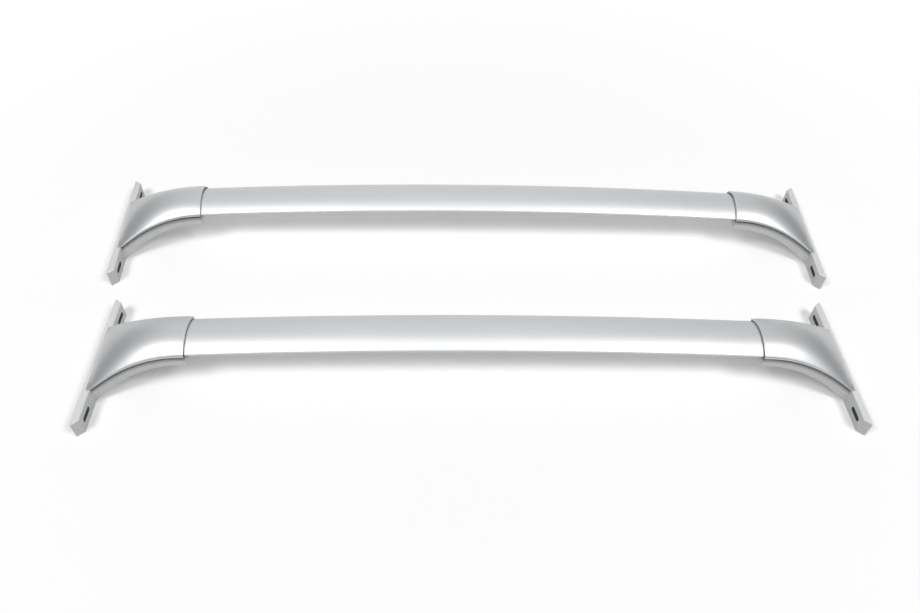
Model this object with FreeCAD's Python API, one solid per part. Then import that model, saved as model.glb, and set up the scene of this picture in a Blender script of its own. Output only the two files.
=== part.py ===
import FreeCAD, Part
import math
import os

# A pair of roof crossbars. Each bar is a crowned oval tube between two flared feet, and each foot is a
# cast base with an upright rail flange under a moulded cover. Millimetres and degrees: X runs along the
# bars, +Y from the front bar to the rear bar, Z up, with the origin on the ground under the pair's middle.

# Tube: an oval of four tangent arcs, swept along a large crown
TUBE_CHORD = 56.6
TUBE_NOSE_RADIUS = 1.6
TUBE_CREST = 10.5           # top of the section above its nose line
TUBE_KEEL = 8.0             # bottom of the section below its nose line
TUBE_WALL = 2.2
TUBE_WEB = 2.0
TUBE_WEB_SPACING = 22.0     # between the middles of the two inner webs
TUBE_INSERT = 30.0          # length of tube hidden inside a foot
CROWN_RADIUS = 6400.0

# Pair: the tube that shows between the feet, and how the bars stand
FRONT_TUBE_SHOWN = 695.0
REAR_TUBE_SHOWN = 757.0
BAR_SPACING = 247.5
FRONT_TOE_IN = 0.0          # turn of the feet about the vertical, front end inwards
REAR_TOE_IN = 3.0
NOSE_LINE = 58.0            # height of the tube's nose line at the mouth of a foot

# Rail flange
FOOT_REACH = 112.5          # from the mouth to the flange's inner face
FOOT_SWEEP = 6.0            # how far the flange's middle lies in front of the tube's
FLANGE_THICKNESS = 9.0
FLANGE_LENGTH = 196.5       # along its outer face
FLANGE_TIP_TAPER = 7.5      # each end is shorter by this on the inner face
FLANGE_HEIGHT = 24.5
FLANGE_CORNER = 1.0
FLANGE_BEVEL = 0.8
SLOT_SPACING = 148.0
SLOT_LENGTH = 20.5
SLOT_WIDTH = 7.0
SLOT_HEIGHT = 12.2

# Cover: the outer form that cover and base share, split along a falling parting line
COVER_STEP = 3.4            # how far the mouth stands proud of the tube
COVER_WALL = 2.4
COVER_OVERLAP = 4.5         # how far the cover reaches over the flange
COVER_FLARE = 20.0          # half width gained from the mouth to the outer edge
COVER_EDGE = 5.0            # height of the outer edge above the flange
COVER_EDGE_RADIUS = 2.5
COVER_SEAT = 0.3            # gap between the cover's edge and the flange's top
FLARE_POWER = 2.3
SWEEP_POWER = 2.0
CREST_POWER = 2.6
PARTING_POWER = 2.2
MIN_NOSE_RADIUS = 0.8

# Base
RIM_INSET = 1.2             # the base stands in from the cover
PARTING_GROOVE = 4.2        # shadow gap below the cover's lip
BASE_DEPTH_MOUTH = 43.0     # height of the base's lower edge at the mouth
BASE_DEPTH_FLANGE = 2.0     # and at the flange
BASE_WALL = 3.0
BASE_DECK = 4.0
RIB = 2.4
RIB_RECESS = 2.0
RIB_SPACING = 17.0
SPIGOT_WALL = 2.0           # wall that locates the cover from inside
SPIGOT_RISE = 4.0
SPIGOT_END_GAP = 2.0
FIT = 0.5                   # between the spigot and the cover

# Tongue that carries the tube
TONGUE_LENGTH = 14.0        # past the mouth, inside the shown tube
TONGUE_FIT = 0.4
TUBE_FIT = 0.3              # between the tube and the foot
TUBE_END_GAP = 2.0
BULKHEAD = 6.0
BULKHEAD_WIDTH = 28.0
GUSSET_LENGTH = 24.0
GUSSET = 5.0

# Gasket round the tube in the mouth
GASKET = 1.2
GASKET_FIT = 0.1
GASKET_DEPTH = 8.0
GASKET_PROUD = 0.5

# Screws from below: a pair in line under each tube end, and a pair side by side under each cover
TUBE_SCREW_RADIUS = 2.5
TUBE_SCREW_HEAD_RADIUS = 4.75
TUBE_SCREW_HEAD = 2.75
TUBE_SCREW_LENGTH = 16.0
TUBE_SCREW_SOCKET = 3.0     # across the flats
TUBE_SCREW_SETBACK = 4.0    # first screw's middle from the gasket
TUBE_SCREW_SPACING = 11.0
SADDLE = 4.5                # metal between the tube and the screw heads
COVER_SCREW_RADIUS = 1.75
COVER_SCREW_HEAD_RADIUS = 3.5
COVER_SCREW_HEAD = 2.2
COVER_SCREW_LENGTH = 18.5
COVER_SCREW_SOCKET = 2.5
COVER_SCREW_REACH = 64.0    # from the mouth
COVER_SCREW_SPACING = 36.0
POST_RADIUS = 5.0
POST_DROP = 4.0
BOSS_RADIUS = 4.0
SCREW_CLEARANCE = 0.3
THREAD_CLEARANCE = 0.1
HEAD_BEVEL = 0.4            # share of a head's height that its bevel takes
SOCKET_DEPTH = 0.6          # share of a head's height that its socket takes

# Worked out from the sizes above
COVER_LENGTH = FOOT_REACH + COVER_OVERLAP
MOUTH_STEP = TUBE_NOSE_RADIUS + COVER_STEP
COVER_CREST = NOSE_LINE + TUBE_CREST + COVER_STEP
PARTING_END = FLANGE_HEIGHT + COVER_SEAT
POCKET_START = TUBE_INSERT + TUBE_END_GAP + BULKHEAD
FOOT_WIDTH = 2 * (TUBE_CHORD / 2 + COVER_STEP + COVER_FLARE)
TUBE_SCREW_SEAT = NOSE_LINE - TUBE_KEEL - SADDLE
LOFT_COUNT = 5
CURVE_COUNT = 6

X_AXIS = FreeCAD.Vector(1, 0, 0)
Y_AXIS = FreeCAD.Vector(0, 1, 0)
Z_AXIS = FreeCAD.Vector(0, 0, 1)
ORIGIN = FreeCAD.Vector(0, 0, 0)


def point(x, y, z):
    return FreeCAD.Vector(x, y, z)


def spread(first, last, spans):
    """Evenly spaced values from first to last, both included."""
    return [first + (last - first) * i / spans for i in range(spans + 1)]


def line(start, end):
    return Part.LineSegment(start, end).toShape()


def arc(start, middle, end):
    return Part.Arc(start, middle, end).toShape()


def box(x, y, z):
    """A block between the two limits given for each axis."""
    return Part.makeBox(x[1] - x[0], y[1] - y[0], z[1] - z[0], point(x[0], y[0], z[0]))


def post(x, y, radius, z):
    """An upright cylinder between two heights."""
    return Part.makeCylinder(radius, z[1] - z[0], point(x, y, z[0]), Z_AXIS)


# Sections


def large_radius(noses, rise, nose_radius):
    """Radius of the large arc that rises over two noses and is tangent to both."""
    return (noses ** 2 + rise ** 2 - nose_radius ** 2) / (2 * (rise - nose_radius))


def tangent(noses, rise, nose_radius):
    """Direction from the centre of the large arc to a nose's centre, where the two arcs are tangent."""
    large = large_radius(noses, rise, nose_radius)
    reach = large - nose_radius
    return noses / reach, (large - rise) / reach


def oval_face(offset):
    """The tube's section in the YZ plane, grown outwards by an offset, with its nose line at the origin."""
    noses = TUBE_CHORD / 2 - TUBE_NOSE_RADIUS
    nose = max(TUBE_NOSE_RADIUS + offset, MIN_NOSE_RADIUS)
    over = large_radius(noses, TUBE_CREST, TUBE_NOSE_RADIUS)
    under = large_radius(noses, TUBE_KEEL, TUBE_NOSE_RADIUS)
    over_hub = TUBE_CREST - over
    under_hub = under - TUBE_KEEL
    over += offset
    under += offset
    over_reach = over - nose
    under_reach = under - nose
    level = over_reach ** 2 - under_reach ** 2 + under_hub ** 2 - over_hub ** 2
    level /= 2 * (under_hub - over_hub)
    middle = math.sqrt(over_reach ** 2 - (level - over_hub) ** 2)
    grow_over = over / over_reach
    grow_under = under / under_reach
    top = [point(0, s * middle * grow_over, over_hub + (level - over_hub) * grow_over) for s in (-1, 1)]
    low = [point(0, s * middle * grow_under, under_hub + (level - under_hub) * grow_under) for s in (-1, 1)]
    edges = [
        arc(top[0], point(0, 0, over_hub + over), top[1]),
        arc(top[1], point(0, middle + nose, level), low[1]),
        arc(low[1], point(0, 0, under_hub - under), low[0]),
        arc(low[0], point(0, -middle - nose, level), top[0]),
    ]
    return Part.Face(Part.Wire(edges))


def slab_face(half_width):
    """A tall rectangle in the YZ plane that keeps the middle of a section."""
    tall = TUBE_CHORD
    corners = [point(0, -half_width, -tall), point(0, half_width, -tall),
               point(0, half_width, tall), point(0, -half_width, tall)]
    return Part.Face(Part.makePolygon(corners + corners[:1]))


def tube_face():
    """The hollow section: an outer wall and two upright webs."""
    core = oval_face(-TUBE_WALL)
    inside = slab_face(TUBE_WEB_SPACING / 2 - TUBE_WEB / 2)
    outside = slab_face(TUBE_WEB_SPACING / 2 + TUBE_WEB / 2)
    return oval_face(0).cut(core.common(inside)).cut(core.cut(outside))


def along_crown(face, shown, first, last):
    """A section swept along the crown between two places on X, for a bar that shows that much tube."""
    hub = point(0, 0, NOSE_LINE - math.sqrt(CROWN_RADIUS ** 2 - (shown / 2) ** 2))
    start = math.degrees(math.asin(first / CROWN_RADIUS))
    end = math.degrees(math.asin(last / CROWN_RADIUS))
    placed = face.translated(hub + CROWN_RADIUS * Z_AXIS)
    placed.rotate(hub, Y_AXIS, start)
    swept = placed.revolve(hub, Y_AXIS, end - start)
    return swept.Solids[0]


# The outer form of a foot, from the mouth at X 0 outwards


def sweep(x):
    """Place of the foot's middle on Y, which moves forwards as the foot runs outwards."""
    return -FOOT_SWEEP * min(x / FOOT_REACH, 1) ** SWEEP_POWER


def half_width(x):
    return TUBE_CHORD / 2 + COVER_STEP + COVER_FLARE * (x / COVER_LENGTH) ** FLARE_POWER


def crest_height(x):
    fall = COVER_CREST - PARTING_END - COVER_EDGE
    return COVER_CREST - fall * (x / COVER_LENGTH) ** CREST_POWER


def parting_height(x):
    return NOSE_LINE - (NOSE_LINE - PARTING_END) * min(x / FOOT_REACH, 1) ** PARTING_POWER


def base_edge_height(x):
    fall = BASE_DEPTH_MOUTH - BASE_DEPTH_FLANGE
    return BASE_DEPTH_MOUTH - fall * min(x / FOOT_REACH, 1) ** PARTING_POWER


def arch_wire(x, inset):
    """A cross-section of the foot's outer form, set in by an inset: upright sides under a tangent arch."""
    nose = max(MOUTH_STEP + (COVER_EDGE_RADIUS - MOUTH_STEP) * x / COVER_LENGTH - inset, MIN_NOSE_RADIUS)
    side = half_width(x) - inset
    noses = side - nose
    middle = sweep(x)
    spring = parting_height(x)
    crest = crest_height(x) - inset
    run, rise = tangent(noses, crest - spring, nose)
    half_turn = math.atan2(rise, run) / 2
    shoulder = [point(x, middle + s * (noses + nose * run), spring + nose * rise) for s in (-1, 1)]
    out, up = nose * math.cos(half_turn), nose * math.sin(half_turn)
    haunch = [point(x, middle + s * (noses + out), spring + up) for s in (-1, 1)]
    wall = [point(x, middle + s * side, spring) for s in (-1, 1)]
    foot = [point(x, middle + s * side, 0) for s in (-1, 1)]
    return Part.Wire([
        line(foot[0], foot[1]),
        line(foot[1], wall[1]),
        arc(wall[1], haunch[1], shoulder[1]),
        arc(shoulder[1], point(x, middle, crest), shoulder[0]),
        arc(shoulder[0], haunch[0], wall[0]),
        line(wall[0], foot[0]),
    ])


def outer_form(first, last, inset):
    """The lofted outer form between two distances from the mouth, set in by an inset."""
    return Part.makeLoft([arch_wire(x, inset) for x in spread(first, last, LOFT_COUNT)], True, False)


def height_curve(height, shift, first, last):
    """A height along X as edges: a curve up to the flange and a level line over it."""
    bend = min(last, FOOT_REACH)
    curve = Part.BSplineCurve()
    curve.interpolate([point(x, 0, height(x) + shift) for x in spread(first, bend, CURVE_COUNT)])
    edges = [curve.toShape()]
    if last > bend:
        edges.append(line(point(bend, 0, height(bend) + shift), point(last, 0, height(last) + shift)))
    return edges


def band(low, low_shift, high, high_shift, first, last):
    """What lies between two height curves, right across the foot."""
    edges = height_curve(low, low_shift, first, last) + height_curve(high, high_shift, first, last)
    edges.append(line(point(first, 0, low(first) + low_shift), point(first, 0, high(first) + high_shift)))
    edges.append(line(point(last, 0, low(last) + low_shift), point(last, 0, high(last) + high_shift)))
    face = Part.Face(Part.Wire(Part.__sortEdges__(edges)))
    return face.translated(-FOOT_WIDTH * Y_AXIS).extrude(2 * FOOT_WIDTH * Y_AXIS)


# Pieces of a right foot, in its own frame


def flange():
    """The rail flange: a bar with both ends bevelled in plan and a slot near each end."""
    outer = FLANGE_LENGTH / 2
    inner = outer - FLANGE_TIP_TAPER
    far = FOOT_REACH + FLANGE_THICKNESS
    middle = sweep(FOOT_REACH)
    plan = [point(FOOT_REACH, middle - inner, 0), point(far, middle - outer, 0),
            point(far, middle + outer, 0), point(FOOT_REACH, middle + inner, 0)]
    plate = Part.Face(Part.makePolygon(plan + plan[:1])).extrude(FLANGE_HEIGHT * Z_AXIS)
    upright = [e for e in plate.Edges if abs(e.tangentAt(e.FirstParameter).z) > 0.5]
    plate = plate.makeFillet(FLANGE_CORNER, upright)
    rim = [e for e in plate.Edges if e.BoundBox.ZMin > FLANGE_HEIGHT / 2]
    plate = plate.makeChamfer(FLANGE_BEVEL, rim)
    for side in (-1, 1):
        plate = plate.cut(slot(middle + side * SLOT_SPACING / 2))
    return plate


def slot(y):
    """A slot along Y through the flange."""
    radius = SLOT_WIDTH / 2
    run = SLOT_LENGTH / 2 - radius
    depth = (FOOT_REACH - FLANGE_THICKNESS, FOOT_REACH + 2 * FLANGE_THICKNESS)
    cutter = box(depth, (y - run, y + run), (SLOT_HEIGHT - radius, SLOT_HEIGHT + radius))
    for end in (y - run, y + run):
        start = point(depth[0], end, SLOT_HEIGHT)
        cutter = cutter.fuse(Part.makeCylinder(radius, depth[1] - depth[0], start, X_AXIS))
    return cutter


def cover_screw_places():
    middle = sweep(COVER_SCREW_REACH)
    return [(COVER_SCREW_REACH, middle + side * COVER_SCREW_SPACING / 2) for side in (-1, 1)]


def tube_screw_places():
    first = GASKET_DEPTH + TUBE_SCREW_SETBACK
    return [(first + i * TUBE_SCREW_SPACING, 0) for i in range(2)]


def post_heights():
    """Lower and upper faces of the posts that join base and cover."""
    joint = parting_height(COVER_SCREW_REACH)
    return joint - PARTING_GROOVE - BASE_DECK - POST_DROP, joint


def cover_blank():
    """The cover's shell with its two screw bosses, before the tube is let in."""
    shell = outer_form(0, COVER_LENGTH, 0)
    shell = shell.cut(outer_form(GASKET_DEPTH + COVER_WALL, COVER_LENGTH - COVER_WALL, COVER_WALL))
    joint = post_heights()[1]
    roof = outer_form(GASKET_DEPTH, FOOT_REACH, COVER_WALL / 2)
    for x, y in cover_screw_places():
        boss = post(x, y, BOSS_RADIUS, (joint, COVER_CREST)).common(roof)
        shell = shell.fuse(boss)
    below = band(parting_height, -2 * NOSE_LINE, parting_height, 0, 0, COVER_LENGTH)
    shell = shell.cut(below)
    for x, y in cover_screw_places():
        radius = COVER_SCREW_RADIUS + THREAD_CLEARANCE
        hole_top = post_heights()[0] + COVER_SCREW_LENGTH + COVER_WALL / 2
        shell = shell.cut(post(x, y, radius, (joint - COVER_WALL, hole_top)))
    return shell


def base_ribs():
    """Cross ribs and one long rib in the base's underside."""
    room = outer_form(POCKET_START - RIB, FOOT_REACH, RIM_INSET + BASE_WALL / 2)
    room = room.common(band(base_edge_height, RIB_RECESS, parting_height, -PARTING_GROOVE - BASE_DECK / 2,
                            POCKET_START - RIB, FOOT_REACH))
    across = (-FOOT_WIDTH, FOOT_WIDTH)
    tall = (0, COVER_CREST)
    ribs = [box((POCKET_START - RIB, FOOT_REACH), (-RIB / 2, RIB / 2), tall)]
    count = int((FOOT_REACH - POCKET_START) / RIB_SPACING)
    step = (FOOT_REACH - POCKET_START) / count
    for i in range(1, count):
        middle = POCKET_START + i * step
        ribs.append(box((middle - RIB / 2, middle + RIB / 2), across, tall))
    return [rib.common(room) for rib in ribs]


def base_bulkhead():
    """The upright block behind the tube's end, with a gusset towards the flange."""
    start = TUBE_INSERT + TUBE_END_GAP
    end = start + BULKHEAD
    floor = BASE_DEPTH_MOUTH
    block = box((start, end), (-BULKHEAD_WIDTH / 2, BULKHEAD_WIDTH / 2), (floor, COVER_CREST))
    tip = end + GUSSET_LENGTH
    side = -GUSSET / 2
    joint = parting_height(tip)
    outline = [point(end, side, floor), point(tip, side, joint - PARTING_GROOVE - BASE_DECK),
               point(tip, side, joint), point(end, side, NOSE_LINE + TUBE_CREST)]
    gusset = Part.Face(Part.makePolygon(outline + outline[:1])).extrude(GUSSET * Y_AXIS)
    room = outer_form(start, FOOT_REACH, COVER_WALL + FIT)
    above = band(base_edge_height, BASE_WALL, parting_height, 2 * NOSE_LINE, start, FOOT_REACH)
    return block.fuse(gusset).common(room).common(above)


def base_blank():
    """The cast base before the tube is let in: rim, deck, ribs, locating wall, bulkhead and flange."""
    rim = outer_form(0, FOOT_REACH, RIM_INSET)
    rim = rim.common(band(base_edge_height, 0, parting_height, -PARTING_GROOVE, 0, FOOT_REACH))
    pocket = outer_form(POCKET_START, FOOT_REACH, RIM_INSET + BASE_WALL)
    pocket = pocket.common(band(base_edge_height, -BASE_WALL, parting_height, -PARTING_GROOVE - BASE_DECK,
                                POCKET_START, FOOT_REACH))
    rim = rim.cut(pocket)
    spigot_start = TUBE_INSERT + TUBE_END_GAP
    spigot_end = FOOT_REACH - SPIGOT_END_GAP
    spigot = outer_form(spigot_start, spigot_end, COVER_WALL + FIT)
    spigot = spigot.cut(outer_form(spigot_start, spigot_end, COVER_WALL + FIT + SPIGOT_WALL))
    spigot = spigot.common(band(parting_height, -PARTING_GROOVE - BASE_DECK / 2, parting_height, SPIGOT_RISE,
                                spigot_start, spigot_end))
    posts = [post(x, y, POST_RADIUS, post_heights()) for x, y in cover_screw_places()]
    blank = rim.multiFuse(base_ribs() + posts + [spigot, base_bulkhead(), flange()])
    low, high = post_heights()
    for x, y in cover_screw_places():
        through = (low - POST_DROP, high + POST_DROP)
        blank = blank.cut(post(x, y, COVER_SCREW_RADIUS + SCREW_CLEARANCE, through))
        blank = blank.cut(post(x, y, COVER_SCREW_HEAD_RADIUS + SCREW_CLEARANCE, (0, low)))
    return blank


def screw(x, y, seat, radius, length, head_radius, head, socket):
    """A screw that points up, with its head's flat at the seat height and a hexagon socket below."""
    bevel = HEAD_BEVEL * head
    tip = radius / 2
    outline = [
        point(0, 0, seat - head),
        point(head_radius - bevel, 0, seat - head),
        point(head_radius, 0, seat - head + bevel),
        point(head_radius, 0, seat),
        point(radius, 0, seat),
        point(radius, 0, seat + length - tip),
        point(tip, 0, seat + length),
        point(0, 0, seat + length),
    ]
    body = Part.Face(Part.makePolygon(outline + outline[:1])).revolve(ORIGIN, Z_AXIS, 360)
    corner = socket / math.sqrt(3)
    turns = [math.radians(60 * i) for i in range(7)]
    hexagon = [point(corner * math.cos(turn), corner * math.sin(turn), seat - head) for turn in turns]
    body = body.cut(Part.Face(Part.makePolygon(hexagon)).extrude(SOCKET_DEPTH * head * Z_AXIS))
    return body.translated(point(x, y, 0))


# Assembly


def right_foot(shown, toe_in):
    """The pieces of the foot at the right end of a bar that shows the given length of tube."""
    mouth = shown / 2
    tube_end = mouth + TUBE_INSERT

    def placed(shape):
        turned = shape.copy()
        turned.rotate(ORIGIN, Z_AXIS, -toe_in)
        return turned.translated(mouth * X_AXIS)

    bed = along_crown(oval_face(TUBE_FIT), shown, mouth - TONGUE_LENGTH, tube_end + TUBE_END_GAP / 2)
    groove = along_crown(oval_face(GASKET + 2 * GASKET_FIT), shown, mouth - TONGUE_LENGTH,
                         mouth + GASKET_DEPTH + GASKET_FIT)
    ring = oval_face(GASKET + GASKET_FIT).cut(oval_face(GASKET_FIT))
    gasket = along_crown(ring, shown, mouth - GASKET_PROUD, mouth + GASKET_DEPTH)

    keep = slab_face(TUBE_WEB_SPACING / 2 - TUBE_WEB / 2 - TONGUE_FIT)
    tongue = along_crown(oval_face(-TUBE_WALL - TONGUE_FIT).common(keep), shown, mouth - TONGUE_LENGTH,
                         tube_end + TUBE_END_GAP + BULKHEAD / 2)
    cover = placed(cover_blank()).cut(bed).cut(groove)
    base = placed(base_blank()).cut(bed).cut(groove).fuse(tongue)
    tube_screws = []
    for x, y in tube_screw_places():
        low = (0, TUBE_SCREW_SEAT)
        through = (TUBE_SCREW_SEAT - TUBE_WALL, NOSE_LINE - TUBE_KEEL + TUBE_WALL)
        thread = (TUBE_SCREW_SEAT, TUBE_SCREW_SEAT + TUBE_SCREW_LENGTH + TONGUE_FIT)
        base = base.cut(placed(post(x, y, TUBE_SCREW_HEAD_RADIUS + SCREW_CLEARANCE, low)))
        base = base.cut(placed(post(x, y, TUBE_SCREW_RADIUS + SCREW_CLEARANCE, through)))
        base = base.cut(placed(post(x, y, TUBE_SCREW_RADIUS + THREAD_CLEARANCE, thread)))
        tube_screws.append(placed(screw(x, y, TUBE_SCREW_SEAT, TUBE_SCREW_RADIUS, TUBE_SCREW_LENGTH,
                                        TUBE_SCREW_HEAD_RADIUS, TUBE_SCREW_HEAD, TUBE_SCREW_SOCKET)))
    cover_screws = [placed(screw(x, y, post_heights()[0], COVER_SCREW_RADIUS, COVER_SCREW_LENGTH,
                                 COVER_SCREW_HEAD_RADIUS, COVER_SCREW_HEAD, COVER_SCREW_SOCKET))
                    for x, y in cover_screw_places()]
    holes = [placed(post(x, y, TUBE_SCREW_RADIUS + SCREW_CLEARANCE, (TUBE_SCREW_SEAT, NOSE_LINE)))
             for x, y in tube_screw_places()]
    pieces = {
        "foot_base": base,
        "foot_cover": cover,
        "mouth_gasket": gasket,
        "tube_screws": Part.makeCompound(tube_screws),
        "cover_screws": Part.makeCompound(cover_screws),
    }
    return pieces, holes


def mirrored(shape):
    return shape.mirror(ORIGIN, X_AXIS)


def crossbar(shown, toe_in):
    """All pieces of one bar, centred on X and Y."""
    pieces, holes = right_foot(shown, toe_in)
    tube_end = shown / 2 + TUBE_INSERT
    tube = along_crown(tube_face(), shown, -tube_end, tube_end)
    for hole in holes:
        tube = tube.cut(hole).cut(mirrored(hole))
    bar = {"bar_tube": tube}
    for name, shape in pieces.items():
        bar["right_" + name] = shape
        bar["left_" + name] = mirrored(shape)
    return bar


def pair():
    """Both bars, with the origin under the middle of their common box."""
    bars = {
        "front": (FRONT_TUBE_SHOWN, FRONT_TOE_IN, -BAR_SPACING / 2),
        "rear": (REAR_TUBE_SHOWN, REAR_TOE_IN, BAR_SPACING / 2),
    }
    nodes = {}
    for name, (shown, toe_in, y) in bars.items():
        for piece, shape in crossbar(shown, toe_in).items():
            nodes[name + "_" + piece] = shape.translated(y * Y_AXIS)
    reach = Part.makeCompound(list(nodes.values())).BoundBox
    middle = (reach.YMin + reach.YMax) / 2
    return {name: shape.translated(-middle * Y_AXIS) for name, shape in nodes.items()}


os.makedirs("parts", exist_ok=True)
for node, solid in pair().items():
    solid.exportStep("parts/" + node + ".step")
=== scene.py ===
import logging
import math
from dataclasses import dataclass
from enum import Enum
from typing import Any

import bmesh
import bpy
from mathutils import Matrix, Vector


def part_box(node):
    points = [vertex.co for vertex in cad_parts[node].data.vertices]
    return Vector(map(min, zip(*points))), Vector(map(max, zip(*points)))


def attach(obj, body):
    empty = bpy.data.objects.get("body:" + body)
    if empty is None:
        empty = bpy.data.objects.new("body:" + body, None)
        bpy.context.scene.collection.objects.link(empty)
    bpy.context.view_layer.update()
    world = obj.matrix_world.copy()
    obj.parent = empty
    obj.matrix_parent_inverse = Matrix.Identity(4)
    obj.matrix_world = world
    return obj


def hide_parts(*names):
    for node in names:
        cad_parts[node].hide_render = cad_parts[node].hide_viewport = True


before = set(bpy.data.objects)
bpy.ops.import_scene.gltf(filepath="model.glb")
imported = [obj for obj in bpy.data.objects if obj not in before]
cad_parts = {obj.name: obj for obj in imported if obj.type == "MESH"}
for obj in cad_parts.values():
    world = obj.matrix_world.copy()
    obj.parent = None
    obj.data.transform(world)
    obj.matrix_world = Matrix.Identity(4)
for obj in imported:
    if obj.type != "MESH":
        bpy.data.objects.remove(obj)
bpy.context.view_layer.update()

MM = 0.001
MERGE = 0.00001  # metres within which points are one
IMAGE_WIDTH = 920  # pixels
NOISE_MIDDLE = 0.5
NOSE_PART = 4  # steps of an arch for each step of its noses
MIX_DARK, MIX_LIGHT, MIX_COLOUR = 6, 7, 2  # places of the Mix node's colour sockets
WHITE = (1.0, 1.0, 1.0, 1.0)
Point = tuple[float, float, float]
LOG = logging.getLogger("crossbars")


class Bar(Enum):
    """The two bars of the pair, with the length of tube that each shows and its feet's toe-in."""

    FRONT = ("front", 695.0, 0.0)
    REAR = ("rear", 757.0, 3.0)

    @property
    def label(self) -> str:
        """The bar's name in the nodes."""
        return self.value[0]

    @property
    def shown(self) -> float:
        """The length of tube between the two mouths, in millimetres."""
        return self.value[1]

    @property
    def toe_in(self) -> float:
        """The turn of the feet about the vertical, in degrees."""
        return self.value[2]

    @property
    def middle(self) -> float:
        """The tube's place on Y, in millimetres."""
        low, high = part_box(f"{self.label}_bar_tube")
        return (low[1] + high[1]) / 2 / MM


class Side(Enum):
    """The two ends of a bar."""

    LEFT = ("left", -1)
    RIGHT = ("right", 1)

    @property
    def label(self) -> str:
        """The end's name in the nodes."""
        return self.value[0]

    @property
    def sign(self) -> int:
        """The end's direction on X."""
        return self.value[1]


@dataclass(frozen=True)
class Oval:
    """The tube's section, which the feet start from at their mouths. Sizes in millimetres."""

    chord: float = 56.6
    nose: float = 1.6
    crest: float = 10.5
    keel: float = 8.0
    nose_line: float = 58.0


OVAL = Oval()


@dataclass(frozen=True)
class Layer:
    """One noise of a finish, with its shares of the tone, the roughness and the height."""

    name: str
    scale: Point
    detail: float
    tone: float = 0.0
    rough: float = 0.0
    height: float = 0.0


def even(scale: float) -> Point:
    """The same scale on each axis."""
    return (scale, scale, scale)


def add_node(
    tree: bpy.types.NodeTree, kind: str, settings: dict[str, Any], sockets: dict[Any, Any]
) -> bpy.types.Node:
    """Adds a node to a tree.

    Args:
        tree: the tree of a material, of the world or of a Geometry Nodes tool.
        kind: the node's type.
        settings: the node's own properties, set first.
        sockets: values for its inputs, or sockets to join to them, by name or place.

    Returns:
        The node.
    """
    node = tree.nodes.new(kind)
    for name, value in settings.items():
        setattr(node, name, value)
    for key, value in sockets.items():
        if isinstance(value, bpy.types.NodeSocket):
            tree.links.new(value, node.inputs[key])
        else:
            node.inputs[key].default_value = value
    return node


class Link:
    """A value socket of a shader tree, with the arithmetic that the finishes use."""

    def __init__(self, shader: "Shader", socket: bpy.types.NodeSocket) -> None:
        """Keeps the tree and the socket."""
        self.shader = shader
        self.socket = socket

    def math(self, operation: str, first: Any, second: Any) -> "Link":
        """Adds one Math node.

        Args:
            operation: the node's operation.
            first: a number or a link.
            second: a number or a link.

        Returns:
            The link to the node's value.
        """
        return self.shader.link("ShaderNodeMath", {"operation": operation}, {0: first, 1: second})

    def __add__(self, other: Any) -> "Link":
        """self + other"""
        return self.math("ADD", self, other)

    def __radd__(self, other: Any) -> "Link":
        """other + self"""
        return self.math("ADD", other, self)

    def __sub__(self, other: Any) -> "Link":
        """self - other"""
        return self.math("SUBTRACT", self, other)

    def __rsub__(self, other: Any) -> "Link":
        """other - self"""
        return self.math("SUBTRACT", other, self)

    def __mul__(self, other: Any) -> "Link":
        """self * other"""
        return self.math("MULTIPLY", self, other)

    def __pow__(self, other: Any) -> "Link":
        """self ** other"""
        return self.math("POWER", self, other)

    def __lt__(self, other: Any) -> "Link":
        """1 where self is below other, or else 0"""
        return self.math("LESS_THAN", self, other)

    def __abs__(self) -> "Link":
        """The value without its sign"""
        return self.at_least(self * -1)

    def near(self, middle: float, reach: float) -> "Link":
        """1 within a reach of a middle, or else 0."""
        return abs(self - middle) < reach

    def at_most(self, limit: Any) -> "Link":
        """The smaller of the value and a limit."""
        return self.math("MINIMUM", self, limit)

    def at_least(self, limit: Any) -> "Link":
        """The larger of the value and a limit."""
        return self.math("MAXIMUM", self, limit)


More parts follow.
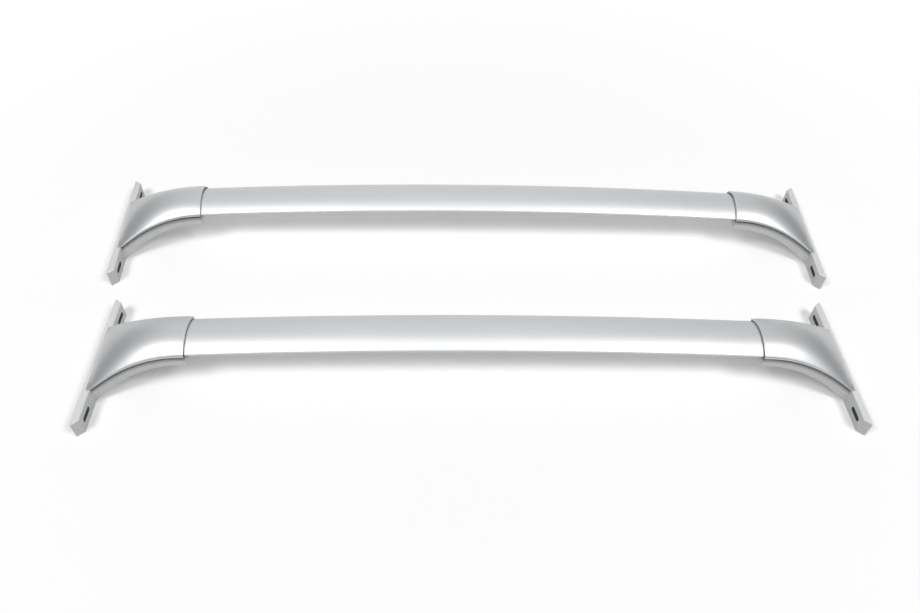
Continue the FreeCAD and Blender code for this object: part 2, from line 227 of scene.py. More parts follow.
class Shader:
    """A node tree of a material or the world that is being put together."""

    def __init__(self, tree: bpy.types.NodeTree) -> None:
        """Takes a tree and empties it."""
        self.tree = tree
        tree.nodes.clear()

    def node(self, kind: str, settings: dict[str, Any], sockets: dict[Any, Any]) -> bpy.types.Node:
        """Adds a node whose inputs are values or links."""
        plain = {key: value.socket if isinstance(value, Link) else value for key, value in sockets.items()}
        return add_node(self.tree, kind, settings, plain)

    def link(self, kind: str, settings: dict[str, Any], sockets: dict[Any, Any], output: Any = 0) -> Link:
        """Adds a node and gives one of its outputs.

        Args:
            kind: the node's type.
            settings: the node's own properties.
            sockets: values or links for its inputs.
            output: the output's name or place.

        Returns:
            The link to that output.
        """
        return Link(self, self.node(kind, settings, sockets).outputs[output])

    def place(self, scale: Point) -> Link:
        """Object coordinates, stretched by a scale on each axis."""
        where = self.link("ShaderNodeTexCoord", {}, {}, "Object")
        return self.link("ShaderNodeMapping", {"vector_type": "POINT"}, {"Vector": where, "Scale": scale})

    def split(self, vector: Link) -> list[Link]:
        """The three parts of a vector."""
        node = self.node("ShaderNodeSeparateXYZ", {}, {"Vector": vector})
        return [Link(self, part) for part in node.outputs]

    def rays(self, *kinds: str) -> list[Link]:
        """For each kind of ray, 1 where the ray is of that kind, or else 0."""
        node = self.node("ShaderNodeLightPath", {}, {})
        return [Link(self, node.outputs[f"Is {kind} Ray"]) for kind in kinds]

    def noise(self, layer: Layer) -> Link:
        """A layer's noise, from 0 to 1."""
        settings = {"noise_dimensions": "3D", "label": layer.name}
        sockets = {"Vector": self.place(layer.scale), "Scale": 1.0, "Detail": layer.detail}
        return self.link("ShaderNodeTexNoise", settings, sockets, "Fac")

    def shade(self, factor: Link, dark: Point | Link, light: Point | Link) -> Link:
        """A colour between two others.

        Args:
            factor: 0 for the dark colour, 1 for the light one.
            dark: the first colour, written or linked.
            light: the second colour, written or linked.

        Returns:
            The link to the mixed colour.
        """
        settings = {"data_type": "RGBA", "blend_type": "MIX", "clamp_factor": True}
        ends = [end if isinstance(end, Link) else (*end, 1) for end in (dark, light)]
        sockets = {0: factor, MIX_DARK: ends[0], MIX_LIGHT: ends[1]}
        return self.link("ShaderNodeMix", settings, sockets, MIX_COLOUR)

    def bump(self, height: Link, strength: float, distance: float) -> Link:
        """A normal bent by a height."""
        sockets = {"Height": height, "Strength": strength, "Distance": distance}
        return self.link("ShaderNodeBump", {}, sockets, "Normal")

    def surface(self, sockets: dict[str, Any]) -> None:
        """Ends a material in one Principled BSDF."""
        body = self.link("ShaderNodeBsdfPrincipled", {}, sockets, "BSDF")
        self.node("ShaderNodeOutputMaterial", {}, {"Surface": body})


def new_material(name: str) -> tuple[bpy.types.Material, Shader]:
    """A new material and its emptied tree."""
    made = bpy.data.materials.new(name)
    made.use_nodes = True
    return made, Shader(made.node_tree)


def mixed(noises: list[Link], shares: list[float]) -> Link:
    """A sum of noises.

    Args:
        noises: the layers' noises.
        shares: the share of each, where 0 leaves it out.

    Returns:
        The link to the sum.
    """
    parts = [noise * share for noise, share in zip(noises, shares) if share]
    return sum(parts[1:], parts[0])


@dataclass(frozen=True)
class Finish:
    """A finish of one material slot of the record: two tones, and layers of noise. Depth in millimetres."""

    slot: str
    dark: Point
    light: Point
    roughness: float
    bump: float
    depth: float
    layers: tuple[Layer, ...]
    metallic: float = 0.0
    coat: float = 0.0
    coat_roughness: float = 0.0

    def sockets(self, shader: Shader) -> dict[str, Any]:
        """The inputs of the finish's Principled BSDF.

        Args:
            shader: the material's tree.

        Returns:
            Values and links by the inputs' names.
        """
        noises = [shader.noise(layer) for layer in self.layers]
        tone = mixed(noises, [layer.tone for layer in self.layers])
        height = mixed(noises, [layer.height for layer in self.layers])
        rough: Any = self.roughness
        for noise, layer in zip(noises, self.layers):
            if layer.rough:
                rough = rough + (noise - NOISE_MIDDLE) * layer.rough
        return {
            "Base Color": shader.shade(tone, self.dark, self.light),
            "Metallic": self.metallic,
            "Roughness": rough,
            "Coat Weight": self.coat,
            "Coat Roughness": self.coat_roughness,
            "Normal": shader.bump(height, self.bump, self.depth * MM),
        }

    def material(self) -> bpy.types.Material:
        """The finish as a material, made once."""
        name = f"finish_{self.slot}"
        found = bpy.data.materials.get(name)
        if found:
            return found
        made, shader = new_material(name)
        shader.surface(self.sockets(shader))
        return made


@dataclass(frozen=True)
class SatinAnodising(Finish):
    """Silver anodised extrusion with faint drawing lines along the bar."""

    slot: str = "anodised_tube"
    dark: Point = (0.67, 0.68, 0.69)
    light: Point = (0.75, 0.76, 0.77)
    roughness: float = 0.53
    bump: float = 0.10
    depth: float = 0.06
    layers: tuple[Layer, ...] = (
        Layer("lines", (1.5, 900.0, 900.0), 3.0, tone=0.35, rough=0.10, height=0.6),
        Layer("cloud", (9.0, 40.0, 40.0), 2.0, tone=0.5),
        Layer("grain", even(2600.0), 1.0, tone=0.15, rough=0.06, height=0.4),
    )
    metallic: float = 0.88


@dataclass(frozen=True)
class SilverPaint(Finish):
    """Smooth silver paint with fine flakes under a thin clear coat with orange peel, on a moulding."""

    slot: str = "painted_cover"
    dark: Point = (0.61, 0.62, 0.63)
    light: Point = (0.73, 0.74, 0.75)
    roughness: float = 0.46
    bump: float = 0.08
    depth: float = 0.08
    layers: tuple[Layer, ...] = (
        Layer("flakes", even(1900.0), 2.0, tone=0.6, rough=0.12, height=0.5),
        Layer("peel", even(320.0), 1.0, height=0.5),
        Layer("cloud", even(25.0), 2.0, tone=0.4),
    )
    metallic: float = 0.88
    coat: float = 0.15
    coat_roughness: float = 0.16


@dataclass(frozen=True)
class PaintedCasting(Finish):
    """Silver paint on a die casting, with painted shade on the slots' walls and in a band below the cover's
    lip. Sizes in millimetres.
    """

    slot: str = "cast_base"
    dark: Point = (0.77, 0.78, 0.79)
    light: Point = (0.89, 0.90, 0.91)
    roughness: float = 0.45
    bump: float = 0.16
    depth: float = 0.12
    layers: tuple[Layer, ...] = (
        Layer("skin", even(240.0), 3.0, tone=0.5, rough=0.14, height=0.7),
        Layer("flakes", even(1700.0), 2.0, tone=0.5, height=0.3),
    )
    metallic: float = 0.08
    # painted shade: dark colours and extra roughness mixed in on the slots' walls and below the cover's lip
    bare_dark: Point = (0.085, 0.085, 0.088)
    bare_light: Point = (0.150, 0.150, 0.155)
    bare_rough: float = 0.25
    groove: float = 4.2
    # painted shadow below the cover's lip: height of the band below the built gap, and its darkest share
    ledge: float = 5.4
    gap_share: float = 0.62
    flange: float = 9.0
    slot_spacing: float = 148.0
    slot_length: float = 20.5
    slot_width: float = 7.0
    slot_height: float = 12.2
    half_span: float = 100.0
    margin: float = 0.15

    def bare(self, shader: Shader, bar: Bar) -> Link:
        """Painted shade on one bar's feet: a dark colour on the walls of the slots, and a band of painted
        shadow below the cover's lip.

        Args:
            shader: the material's tree.
            bar: the bar.

        Returns:
            1 where shade is painted and 0 where the paint keeps its own colour, with the band's shadow
            fading downwards from the gap.
        """
        x, y, z = shader.split(shader.place(even(1 / MM)))
        turn = math.radians(bar.toe_in)
        out = abs(x) - bar.shown / 2
        aside = y - bar.middle
        reach = out * math.cos(turn) - aside * math.sin(turn)
        across = out * math.sin(turn) + aside * math.cos(turn)
        # the slots' walls, which get a dark colour as painted shade
        through = reach.near(Foot.reach + self.flange / 2, self.flange / 2 - self.margin)
        level = z.near(self.slot_height, self.slot_width / 2 + self.margin)
        along = abs(across + Foot.sweep).near(self.slot_spacing / 2, self.slot_length / 2 + self.margin)
        share = (reach * (1 / Foot.reach)).at_least(0.0).at_most(1.0)
        # a band of painted shadow below the cover's lip, darkest at the built gap and fading downwards
        lip = OVAL.nose_line - (share ** Foot.parting_power) * (OVAL.nose_line - Foot.parting_end)
        rise = (z - lip + (self.groove + self.ledge)) * (1 / self.ledge)
        lip_shadow = rise.at_least(0.0).at_most(1.0) * self.gap_share
        inside = (reach < Foot.reach - self.margin) * (abs(across) < self.half_span)
        return through * level * along + lip_shadow * inside

    def sockets(self, shader: Shader) -> dict[str, Any]:
        """The paint's inputs, with painted shade mixed into its colour and more roughness where it is
        painted.

        Args:
            shader: the material's tree.

        Returns:
            Values and links by the inputs' names.
        """
        painted = super().sockets(shader)
        # mix the painted shade into the paint's colour and roughness
        bare = (self.bare(shader, Bar.FRONT) + self.bare(shader, Bar.REAR)).at_most(1.0)
        painted_shade_colour = shader.shade(shader.noise(self.layers[0]), self.bare_dark, self.bare_light)
        return painted | {
            "Base Color": shader.shade(bare, painted["Base Color"], painted_shade_colour),
            "Roughness": painted["Roughness"] + bare * self.bare_rough,
        }


@dataclass(frozen=True)
class BlackRubber(Finish):
    """Matt black rubber with a dusty bloom and a fine moulded grain."""

    slot: str = "black_gasket"
    dark: Point = (0.090, 0.090, 0.095)
    light: Point = (0.150, 0.150, 0.156)
    roughness: float = 0.62
    bump: float = 0.2
    depth: float = 0.1
    layers: tuple[Layer, ...] = (
        Layer("bloom", even(160.0), 3.0, tone=1.0, rough=0.25),
        Layer("grain", even(1500.0), 1.0, height=1.0),
    )


@dataclass(frozen=True)
class ZincPlate(Finish):
    """Bright zinc plate with a slight clouding and a fine turned grain."""

    slot: str = "zinc_screws"
    dark: Point = (0.46, 0.47, 0.50)
    light: Point = (0.66, 0.67, 0.69)
    roughness: float = 0.30
    bump: float = 0.12
    depth: float = 0.08
    layers: tuple[Layer, ...] = (
        Layer("cloud", even(420.0), 3.0, tone=1.0, rough=0.2),
        Layer("turned", (700.0, 700.0, 5200.0), 1.0, height=1.0),
    )
    metallic: float = 1.0


def keep(piece: bpy.types.Object, finish: Finish, *nodes: str) -> None:
    """Hands a finished piece to the frame in place of its solids.

    Args:
        piece: the mesh, in place in the row frame.
        finish: the finish it takes.
        nodes: the solids that it stands for.
    """
    piece.data.materials.clear()
    piece.data.materials.append(finish.material())
    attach(piece, "root")
    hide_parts(*nodes)
    LOG.info("%s: %d faces for %s", piece.name, len(piece.data.polygons), ", ".join(nodes))


def dress(node: str, finish: Finish) -> None:
    """Gives a solid that stays a finish."""
    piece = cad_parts[node]
    for place in piece.material_slots:
        place.material = finish.material()
    LOG.info("%s: solid kept with %s", node, finish.slot)


def add_object(name: str, data: bpy.types.ID) -> bpy.types.Object:
    """Puts a mesh, curve, lamp or camera into the scene as an object at the origin."""
    made = bpy.data.objects.new(name, data)
    bpy.context.scene.collection.objects.link(made)
    return made


def ring_mesh(name: str, rings: list[list[Point]], closed: bool, matrix: Matrix) -> bpy.types.Mesh:
    """A skin through rings of points.

    Args:
        name: the mesh's name.
        rings: rows of points in millimetres, each as long as the next.
        closed: True where each row joins its own end.
        matrix: where the skin goes, in millimetres.

    Returns:
        The mesh in metres, with doubles merged and its faces turned outwards.
    """
    work = bmesh.new()
    rows = [[work.verts.new((matrix @ Vector(p)) * MM) for p in ring] for ring in rings]
    count = len(rows[0])
    for first, second in zip(rows, rows[1:]):
        for i in range(count if closed else count - 1):
            j = (i + 1) % count
            work.faces.new((first[i], first[j], second[j], second[i]))
    bmesh.ops.remove_doubles(work, verts=work.verts, dist=MERGE)
    bmesh.ops.recalc_face_normals(work, faces=work.faces)
    mesh = bpy.data.meshes.new(name)
    work.to_mesh(mesh)
    work.free()
    return mesh


def smooth(mesh: bpy.types.Mesh, limit: float) -> None:
    """Shades a mesh smooth, with edges sharper than a limit in degrees kept."""
    mesh.polygons.foreach_set("use_smooth", [True] * len(mesh.polygons))
    mesh.set_sharp_from_angle(angle=math.radians(limit))


def settle(piece: bpy.types.Object) -> None:
    """Turns a piece's modifiers into its plain mesh."""
    graph = bpy.context.evaluated_depsgraph_get()
    plain = bpy.data.meshes.new_from_object(piece.evaluated_get(graph))
    piece.modifiers.clear()
    piece.data = plain


@dataclass(frozen=True)
class NodeTool:
    """A Geometry Nodes tree whose inputs are set by name on one object and then made plain."""

    tree: bpy.types.GeometryNodeTree

    def run(self, piece: bpy.types.Object, values: dict[str, Any]) -> None:
        """Runs the tree on a piece.

        Args:
            piece: the object that carries the result.
            values: the tree's inputs by name.
        """
        step = piece.modifiers.new("made", "NODES")
        step.node_group = self.tree
        for item in self.tree.interface.items_tree:
            if item.in_out == "INPUT" and item.name in values:
                step[item.identifier] = values[item.name]
        settle(piece)


class TreeMaker:
    """Puts a Geometry Nodes tree together."""

    def __init__(self, name: str, inputs: dict[str, str]) -> None:
        """Makes an empty tree.

        Args:
            name: the tree's name.
            inputs: socket types by input name.
        """
        self.tree = bpy.data.node_groups.new(name, "GeometryNodeTree")
        self.tree.interface.new_socket("Geometry", in_out="OUTPUT", socket_type="NodeSocketGeometry")
        for label, kind in inputs.items():
            self.tree.interface.new_socket(label, in_out="INPUT", socket_type=kind)
        self.inputs = self.tree.nodes.new("NodeGroupInput")

    def given(self, name: str) -> bpy.types.NodeSocket:
        """The socket of one of the tree's inputs."""
        return self.inputs.outputs[name]

    def node(self, kind: str, settings: dict[str, Any], sockets: dict[str, Any]) -> bpy.types.Node:
        """Adds a node, its settings first and then its sockets."""
        return add_node(self.tree, kind, settings, sockets)

    def end(self, geometry: bpy.types.NodeSocket) -> NodeTool:
        """Ends the tree in Realize Instances and Set Material.

        Args:
            geometry: what the tree has made.

        Returns:
            The tree, ready to run.
        """
        real = self.node("GeometryNodeRealizeInstances", {}, {"Geometry": geometry})
        sockets = {"Geometry": real.outputs[0], "Material": self.given("Finish")}
        dressed = self.node("GeometryNodeSetMaterial", {}, sockets)
        output = self.tree.nodes.new("NodeGroupOutput")
        self.tree.links.new(dressed.outputs[0], output.inputs[0])
        return NodeTool(self.tree)


def crown_sweep() -> NodeTool:
    """The tool that draws a profile along an arc through three points."""
    maker = TreeMaker("crown_sweep", {
        "Start": "NodeSocketVector", "Middle": "NodeSocketVector", "End": "NodeSocketVector",
        "Spans": "NodeSocketInt", "Profile": "NodeSocketObject", "Finish": "NodeSocketMaterial",
    })
    sockets = {name: maker.given(name) for name in ("Start", "Middle", "End")}
    sockets["Resolution"] = maker.given("Spans")
    path = maker.node("GeometryNodeCurveArc", {"mode": "POINTS"}, sockets)
    level = maker.node("GeometryNodeSetCurveNormal", {"mode": "Z_UP"}, {"Curve": path.outputs["Curve"]})
    shape = maker.node("GeometryNodeObjectInfo", {}, {"Object": maker.given("Profile")})
    skin = maker.node("GeometryNodeCurveToMesh", {}, {
        "Curve": level.outputs["Curve"],
        "Profile Curve": shape.outputs["Geometry"],
        "Fill Caps": True,
    })
    return maker.end(skin.outputs["Mesh"])


def screw_row() -> NodeTool:
    """The tool that sets copies of one screw along a row."""
    maker = TreeMaker("screw_row", {
        "Screw": "NodeSocketObject", "Count": "NodeSocketInt", "First": "NodeSocketVector",
        "Step": "NodeSocketVector", "Finish": "NodeSocketMaterial",
    })
    places = maker.node("GeometryNodeMeshLine", {"mode": "OFFSET"}, {
        "Count": maker.given("Count"),
        "Start Location": maker.given("First"),
        "Offset": maker.given("Step"),
    })
    shape = maker.node("GeometryNodeObjectInfo", {}, {"Object": maker.given("Screw")})
    sockets = {"Points": places.outputs["Mesh"], "Instance": shape.outputs["Geometry"]}
    row = maker.node("GeometryNodeInstanceOnPoints", {}, sockets)
    return maker.end(row.outputs["Instances"])


def tangent(noses: float, rise: float, nose: float) -> tuple[float, float]:
    """Where a large arch and a small nose meet without a kink.

    Args:
        noses: half the distance between the noses' middles.
        rise: the arch's height above them.
        nose: the noses' radius.

    Returns:
        The direction from the arch's middle to a nose's middle, across and up.
    """
    large = (noses ** 2 + rise ** 2 - nose ** 2) / (2 * (rise - nose))
    reach = large - nose
    return noses / reach, (large - rise) / reach


def arch(noses: float, rise: float, nose: float, steps: int) -> list[tuple[float, float]]:
    """Half of a rounded section, from one nose's side over the crest to the other's.

    Args:
        noses: half the distance between the noses' middles.
        rise: the crest above the noses.
        nose: the noses' radius.
        steps: points on the large arc.

    Returns:
        Points across and up, from the positive side to the negative.
    """
    run, up = tangent(noses, rise, nose)
    large = noses / run + nose
    turn = math.atan2(up, run)
    small = steps // NOSE_PART
    turns = [turn * i / small for i in range(small)]
    near = [(noses + nose * math.cos(angle), nose * math.sin(angle)) for angle in turns]
    sweep = math.pi / 2 - turn
    top = []
    for i in range(steps + 1):
        angle = sweep - 2 * sweep * i / steps
        top.append((large * math.sin(angle), rise - large + large * math.cos(angle)))
    return near + top + [(-across, height) for across, height in reversed(near)]


@dataclass
class CrownedTube:
    """The oval extrusion of one bar, swept along its crown. Sizes in millimetres, sharp edges in degrees."""

    bar: Bar
    crown: float = 6400.0
    insert: float = 30.0
    spans: int = 96
    steps: int = 48
    sharp: float = 40.0

    def profile(self) -> bpy.types.Object:
        """The closed oval as a flat curve object."""
        noses = OVAL.chord / 2 - OVAL.nose
        over = arch(noses, OVAL.crest, OVAL.nose, self.steps)
        under = [(-across, -up) for across, up in arch(noses, OVAL.keel, OVAL.nose, self.steps)]
        outline = over[:-1] + under[:-1]
        curve = bpy.data.curves.new("oval", "CURVE")
        curve.dimensions = "3D"
        spline = curve.splines.new("POLY")
        spline.points.add(len(outline) - 1)
        for place, (across, up) in zip(spline.points, outline):
            place.co = (across * MM, -up * MM, 0, 1)
        spline.use_cyclic_u = True
        return add_object("oval", curve)

    def height(self, x: float) -> float:
        """The nose line's height at a place on X."""
        low = OVAL.nose_line - math.sqrt(self.crown ** 2 - (self.bar.shown / 2) ** 2)
        return low + math.sqrt(self.crown ** 2 - x ** 2)

    def build(self, tool: NodeTool, finish: Finish) -> None:
        """Sweeps the tube and puts it in the solid's place.

        Args:
            tool: the sweep.
            finish: the tube's finish.
        """
        end = self.bar.shown / 2 + self.insert
        oval = self.profile()
        piece = add_object(f"{self.bar.label}_tube_skin", bpy.data.meshes.new("tube"))
        ends = {"Start": -end, "Middle": 0.0, "End": end}
        values: dict[str, Any] = {
            label: (x * MM, self.bar.middle * MM, self.height(x) * MM) for label, x in ends.items()
        }
        tool.run(piece, values | {"Spans": self.spans, "Profile": oval, "Finish": finish.material()})
        bpy.data.objects.remove(oval)
        smooth(piece.data, self.sharp)
        keep(piece, finish, f"{self.bar.label}_bar_tube")


@dataclass(frozen=True)
class Screw:
    """A button-head screw that points up, its head's flat at height 0. Sizes in millimetres."""

    radius: float
    length: float
    head_radius: float
    head: float
    socket: float
    sides: int = 24
    pitch_share: float = 0.32
    thread_share: float = 0.6
    thread_depth: float = 0.12
    flat_share: float = 0.62
    dome_rings: int = 5
    socket_mouth: float = 1.12
    socket_floor: float = 0.4
    socket_point: float = 0.3
    point: float = 0.001
    sharp: float = 35.0

    def ring(self, radius: float, height: float) -> list[Point]:
        """A round row of points."""
        turns = [2 * math.pi * i / self.sides for i in range(self.sides)]
        return [(radius * math.cos(t), radius * math.sin(t), height) for t in turns]

    def hexagon(self, flats: float, height: float) -> list[Point]:
        """A row of points on a hexagon of a width across its flats."""
        points = []
        for i in range(self.sides):
            turn = 2 * math.pi * i / self.sides
            within = (turn % (math.pi / 3)) - math.pi / 6
            radius = flats / 2 / math.cos(within)
            points.append((radius * math.cos(turn), radius * math.sin(turn), height))
        return points

    def build(self) -> bpy.types.Object:
        """The screw as an object of its own, from its tip to the floor of its socket."""
        tip = self.radius / 2
        rings = [self.ring(self.point, self.length), self.ring(tip, self.length)]
        rings.append(self.ring(self.radius, self.length - tip))
        pitch = self.radius * self.pitch_share
        for i in range(int(self.length * self.thread_share / pitch)):
            top = self.length - tip - i * pitch
            rings.append(self.ring(self.radius * (1 - self.thread_depth), top - pitch / 2))
            rings.append(self.ring(self.radius, top - pitch))
        rings.append(self.ring(self.radius, 0))
        rings.append(self.ring(self.head_radius, 0))
        for i in range(1, self.dome_rings + 1):
            angle = math.pi / 2 * i / self.dome_rings
            out = self.head_radius * (self.flat_share + (1 - self.flat_share) * math.cos(angle))
            rings.append(self.ring(out, -self.head * math.sin(angle)))
        rings.append(self.hexagon(self.socket * self.socket_mouth, -self.head))
        rings.append(self.hexagon(self.socket, -self.head * (2 - self.socket_mouth)))
        rings.append(self.hexagon(self.socket, -self.head * self.socket_floor))
        rings.append(self.ring(self.point, -self.head * self.socket_point))
        return add_object("screw", ring_mesh("screw", rings, True, Matrix.Identity(4)))


@dataclass
class Foot:
    """One foot: the flared cover, the cast base, the gasket and the screws. Sizes in millimetres."""

    bar: Bar
    side: Side
    step: float = 3.4
    reach: float = 112.5
    overlap: float = 4.5
    flare: float = 20.0
    edge: float = 5.0
    edge_radius: float = 2.5
    parting_end: float = 24.8
    parting_power: float = 2.2
    sweep: float = 6.0
    wall: float = 2.0
    roll: float = 3.8
    roll_reach: float = 11.0
    flare_power: float = 2.3
    crest_power: float = 2.6
    sweep_power: float = 2.0
    least_nose: float = 0.5
    nose_share: float = 0.8
    around: int = 40
    rings: int = 48
    roll_rings: int = 8
    lip_round: float = 0.45
    lip_segments: int = 3
    lip_angle: float = 50.0
    sharp: float = 40.0
    screws_in_row: int = 2
    screw_seat: float = 45.5
    screw_place: float = 12.0
    screw_step: float = 11.0
    cover_screw_reach: float = 64.0
    cover_screw_step: float = 36.0
    cover_screw_drop: float = 12.2
    tube_screw: Screw = Screw(2.5, 16.0, 4.75, 2.75, 3.0)
    cover_screw: Screw = Screw(1.75, 18.5, 3.5, 2.2, 2.5)

    @property
    def label(self) -> str:
        """The start of the foot's node names."""
        return f"{self.bar.label}_{self.side.label}"

    @property
    def length(self) -> float:
        """The cover's length from the mouth."""
        return self.reach + self.overlap

    @property
    def matrix(self) -> Matrix:
        """From a right foot's own frame to the row frame, in millimetres."""
        turn = Matrix.Rotation(math.radians(-self.bar.toe_in), 4, "Z")
        place = Matrix.Translation((self.bar.shown / 2, self.bar.middle, 0)) @ turn
        return Matrix.Diagonal((self.side.sign, 1, 1, 1)) @ place

    def middle(self, x: float) -> float:
        """The foot's middle on Y."""
        return -self.sweep * min(x / self.reach, 1) ** self.sweep_power

    def parting(self, x: float) -> float:
        """The height of the cover's lip."""
        share = min(x / self.reach, 1) ** self.parting_power
        return OVAL.nose_line - (OVAL.nose_line - self.parting_end) * share

    def section(self, x: float, inset: float) -> list[Point]:
        """The cover's outer arch at a distance from the mouth.

        Args:
            x: the distance from the mouth.
            inset: how far the arch is drawn in.

        Returns:
            Points from one lip over the top to the other.
        """
        share = x / self.length
        proud = OVAL.nose + self.step
        nose = max(proud + (self.edge_radius - proud) * share - inset, self.least_nose)
        half = OVAL.chord / 2 + self.step + self.flare * share ** self.flare_power - inset
        top = OVAL.nose_line + OVAL.crest + self.step
        low = self.parting(x)
        rise = top - (top - self.parting_end - self.edge) * share ** self.crest_power - inset - low
        nose = min(nose, self.nose_share * rise)
        middle = self.middle(x)
        return [(x, middle + across, low + up) for across, up in arch(half - nose, rise, nose, self.around)]

    def shell(self) -> list[list[Point]]:
        """The cover's rows of points, from the mouth over the rolled edge and down to the flange."""
        start = self.length - self.roll_reach
        rows = [self.section(start * i / self.rings, 0) for i in range(self.rings + 1)]
        for i in range(1, self.roll_rings + 1):
            angle = math.pi / 2 * i / self.roll_rings
            x = start + self.roll_reach * math.sin(angle)
            rows.append(self.section(x, self.roll * (1 - math.cos(angle))))
        return rows + [[(x, y, self.parting_end) for x, y, _ in rows[-1]]]

    def cover(self, finish: Finish) -> None:
        """Makes the cover's shell with a rolled outer edge, and puts it in the solid's place."""
        name = f"{self.label}_cover_shell"
        piece = add_object(name, ring_mesh(name, self.shell(), False, self.matrix))
        wall = piece.modifiers.new("wall", "SOLIDIFY")
        wall.thickness = self.wall * MM
        wall.offset = -1
        wall.use_rim = True
        rim = piece.modifiers.new("rim", "BEVEL")
        rim.width = self.lip_round * MM
        rim.segments = self.lip_segments
        rim.limit_method = "ANGLE"
        rim.angle_limit = math.radians(self.lip_angle)
        rim.use_clamp_overlap = True
        settle(piece)
        smooth(piece.data, self.sharp)
        keep(piece, finish, f"{self.label}_foot_cover")

    def screws(self, tool: NodeTool, finish: Finish) -> None:
        """Sets the two pairs of screws from below.

        Args:
            tool: the row of screws.
            finish: the screws' plate.
        """
        turn = self.matrix.to_3x3()
        seat = self.parting(self.cover_screw_reach) - self.cover_screw_drop
        across = self.middle(self.cover_screw_reach) - self.cover_screw_step / 2
        tube_first = (self.screw_place, 0, self.screw_seat)
        cover_first = (self.cover_screw_reach, across, seat)
        rows = {
            "tube_screws": (self.tube_screw, tube_first, (self.screw_step, 0, 0)),
            "cover_screws": (self.cover_screw, cover_first, (0, self.cover_screw_step, 0)),
        }
        for kind, (screw, first, step) in rows.items():
            pattern = screw.build()
            piece = add_object(f"{self.label}_{kind}_set", bpy.data.meshes.new(kind))
            tool.run(piece, {
                "Screw": pattern,
                "Count": self.screws_in_row,
                "First": (self.matrix @ Vector(first)) * MM,
                "Step": (turn @ Vector(step)) * MM,
                "Finish": finish.material(),
            })
            bpy.data.objects.remove(pattern)
            smooth(piece.data, screw.sharp)
            keep(piece, finish, f"{self.label}_{kind}")

    def dress(self, casting: Finish, rubber: Finish) -> None:
        """Gives the base and the gasket their finishes."""
        dress(f"{self.label}_foot_base", casting)
        dress(f"{self.label}_mouth_gasket", rubber)


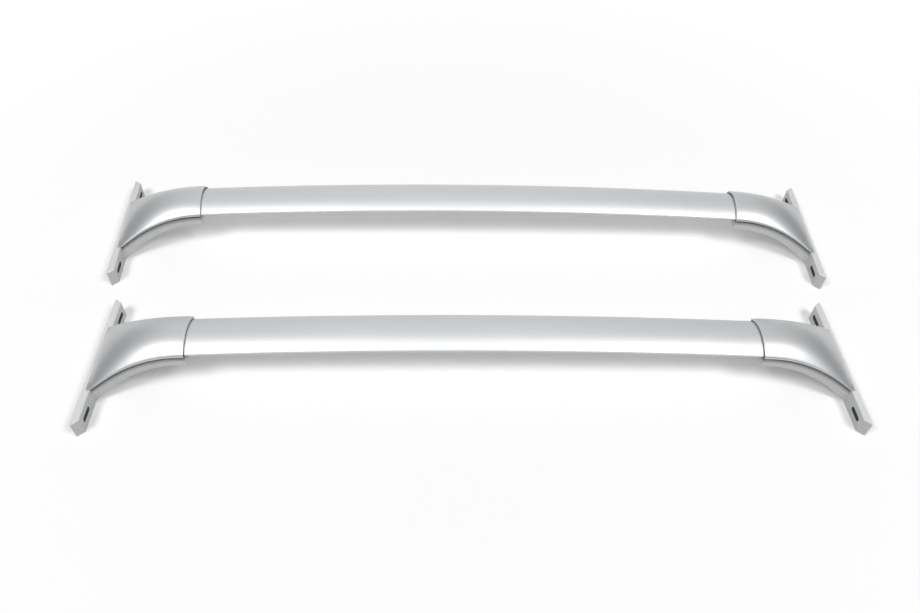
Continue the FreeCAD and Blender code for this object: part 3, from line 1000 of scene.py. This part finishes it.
@dataclass
class Studio:
    """The white floor, the soft light and the camera. Sizes in metres."""

    floor_half: float = 9.0
    white: Point = (1.0, 1.0, 1.0)
    bounce: Point = (0.35, 0.35, 0.35)
    lift: float = 0.18
    lift_slope: float = 0.19
    lift_spread: float = 0.09
    lift_limit: float = 0.9
    room: float = 0.08
    wall: float = 0.35
    wall_shine: float = 0.35
    ceiling: float = 0.05
    ceiling_shine: float = 0.51
    side_fall: float = 0.85
    box_out: float = 1.42
    box_front: float = 1.25
    box_height: float = 2.6
    box_aim: float = 0.1
    box_size: tuple[float, float] = (1.1, 0.8)
    box_power: float = 39.5
    lens_pixels: float = 775.18
    sensor: float = 36.0
    clip_end: float = 100.0
    eye: Point = (-0.05385, -0.72233, 0.78953)
    forward: Point = (0.03501, 0.66366, -0.74722)
    right: Point = (0.99938, -0.01983, 0.02922)

    def floor(self) -> None:
        """A pale floor that keeps the soft shadow and shows white elsewhere."""
        half = self.floor_half
        mesh = bpy.data.meshes.new("studio_floor")
        corners = [(-half, -half, 0), (half, -half, 0), (half, half, 0), (-half, half, 0)]
        mesh.from_pydata(corners, [], [(0, 1, 2, 3)])
        floor = add_object("studio_floor", mesh)
        material, shader = new_material("studio_floor")
        seen, mirrored, through = shader.rays("Camera", "Glossy", "Transmission")
        shown = (seen + mirrored + through).at_most(1.0)
        colour = shader.shade(shown, self.bounce, self.white)
        matt = shader.link("ShaderNodeBsdfDiffuse", {}, {"Color": colour})
        aside, depth, _ = shader.split(shader.place(even(1.0)))
        spread = (aside * aside + depth * depth) * self.lift_spread
        lift = self.lift + depth * self.lift_slope + spread
        strength = lift.at_least(0.0).at_most(self.lift_limit) * shown
        glow = shader.link("ShaderNodeEmission", {}, {"Color": WHITE, "Strength": strength})
        both = shader.link("ShaderNodeAddShader", {}, {0: matt, 1: glow})
        shader.node("ShaderNodeOutputMaterial", {}, {"Surface": both})
        mesh.materials.append(material)

    def sky(self) -> None:
        """A dim room whose back wall and ceiling are lighter in reflections. The camera sees white."""
        world = bpy.data.worlds.new("studio")
        bpy.context.scene.world = world
        world.use_nodes = True
        shader = Shader(world.node_tree)
        side, back, up = shader.split(shader.link("ShaderNodeTexCoord", {}, {}, "Generated"))
        seen, mirrored = shader.rays("Camera", "Glossy")
        wall = back.at_least(0.0) * (self.wall + mirrored * self.wall_shine)
        ceiling = up.at_least(0.0) * (self.ceiling + mirrored * self.ceiling_shine)
        level = self.room + (wall + ceiling) * (1 - side * side * self.side_fall)
        room = shader.link("ShaderNodeBackground", {}, {"Color": WHITE, "Strength": level})
        white = shader.link("ShaderNodeBackground", {}, {"Color": WHITE, "Strength": 1.0})
        shown = shader.link("ShaderNodeMixShader", {}, {0: seen, 1: room, 2: white})
        shader.node("ShaderNodeOutputWorld", {}, {"Surface": shown})

    def box(self, side: Side, middle: float) -> None:
        """A soft box in front of the bars and to one side.

        Args:
            side: the side that it stands on.
            middle: the place on Y midway between the two bars, in metres.
        """
        name = f"{side.label}_box"
        light = bpy.data.lights.new(name, "AREA")
        light.shape = "RECTANGLE"
        light.size, light.size_y = self.box_size
        light.energy = self.box_power
        place = Vector((side.sign * self.box_out, middle - self.box_front, self.box_height))
        aim = Vector((side.sign * self.box_aim, middle, 0.0))
        turn = (aim - place).to_track_quat("-Z", "Y").to_matrix().to_4x4()
        add_object(name, light).matrix_world = Matrix.Translation(place) @ turn

    def camera(self, middle: float) -> None:
        """The camera at the photograph's view.

        Args:
            middle: the place on Y midway between the two bars, in metres.
        """
        data = bpy.data.cameras.new("camera")
        data.sensor_fit = "HORIZONTAL"
        data.sensor_width = self.sensor
        data.lens = self.lens_pixels * self.sensor / IMAGE_WIDTH
        data.clip_end = self.clip_end
        made = add_object("camera", data)
        ahead = Vector(self.forward).normalized()
        right = (Vector(self.right) - Vector(self.right).dot(ahead) * ahead).normalized()
        up = right.cross(ahead)
        turn = Matrix((right, up, -ahead)).transposed().to_4x4()
        made.matrix_world = Matrix.Translation(Vector(self.eye) + Vector((0, middle, 0))) @ turn
        bpy.context.scene.camera = made

    def build(self, middle: float) -> None:
        """Sets the floor, the light and the camera."""
        self.floor()
        self.sky()
        for side in Side:
            self.box(side, middle)
        self.camera(middle)
        bpy.context.scene.view_settings.view_transform = "Standard"


def main() -> None:
    """Builds and dresses both bars and sets the studio."""
    logging.basicConfig(level=logging.INFO, format="%(message)s")
    sweep, row = crown_sweep(), screw_row()
    anodising, paint, casting = SatinAnodising(), SilverPaint(), PaintedCasting()
    rubber, zinc = BlackRubber(), ZincPlate()
    for bar in Bar:
        CrownedTube(bar).build(sweep, anodising)
        for side in Side:
            foot = Foot(bar, side)
            foot.cover(paint)
            foot.dress(casting, rubber)
            foot.screws(row, zinc)
    middle = (Bar.FRONT.middle + Bar.REAR.middle) / 2 * MM
    Studio().build(middle)


if __name__ == "__main__":
    main()
